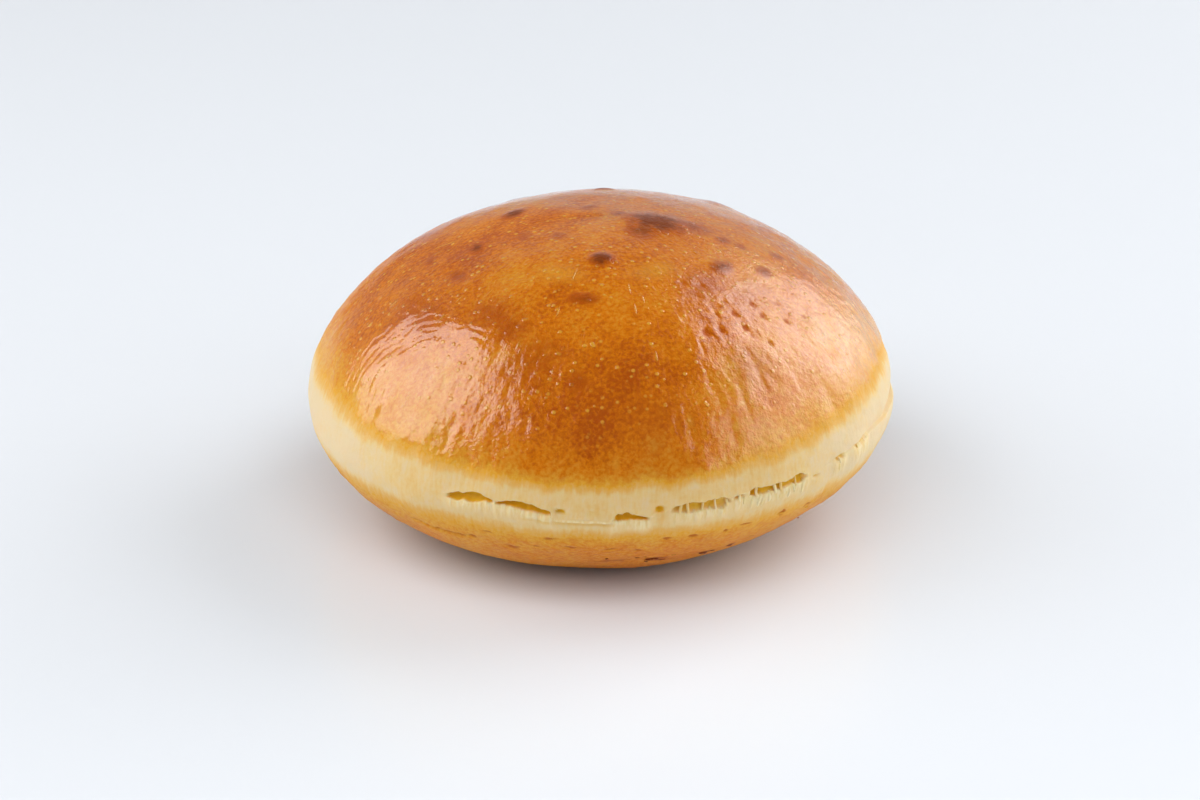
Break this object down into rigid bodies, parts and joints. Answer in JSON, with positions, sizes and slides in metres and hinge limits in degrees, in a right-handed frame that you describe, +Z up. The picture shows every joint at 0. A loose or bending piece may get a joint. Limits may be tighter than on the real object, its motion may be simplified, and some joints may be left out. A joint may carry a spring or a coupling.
{
  "type": "closed kolache bun",
  "caption": "Round closed kolache bun, glossy and browned above and below, with a pale torn waist and a small flat base to rest on.",
  "frame": {"origin": "centre of the bun's outline, on the plane of its flat base", "axes": "+Z up through the dome; -Y towards the side with the widest tear in the waist"},
  "size_m": [0.1044, 0.1044, 0.0542],
  "materials": {
    "crust": "baked enriched dough, browned and shiny on the dome, pale and matt round the torn waist"
  },
  "bodies": {
    "root": {"bun": "crust"}
  },
  "joints": []
}
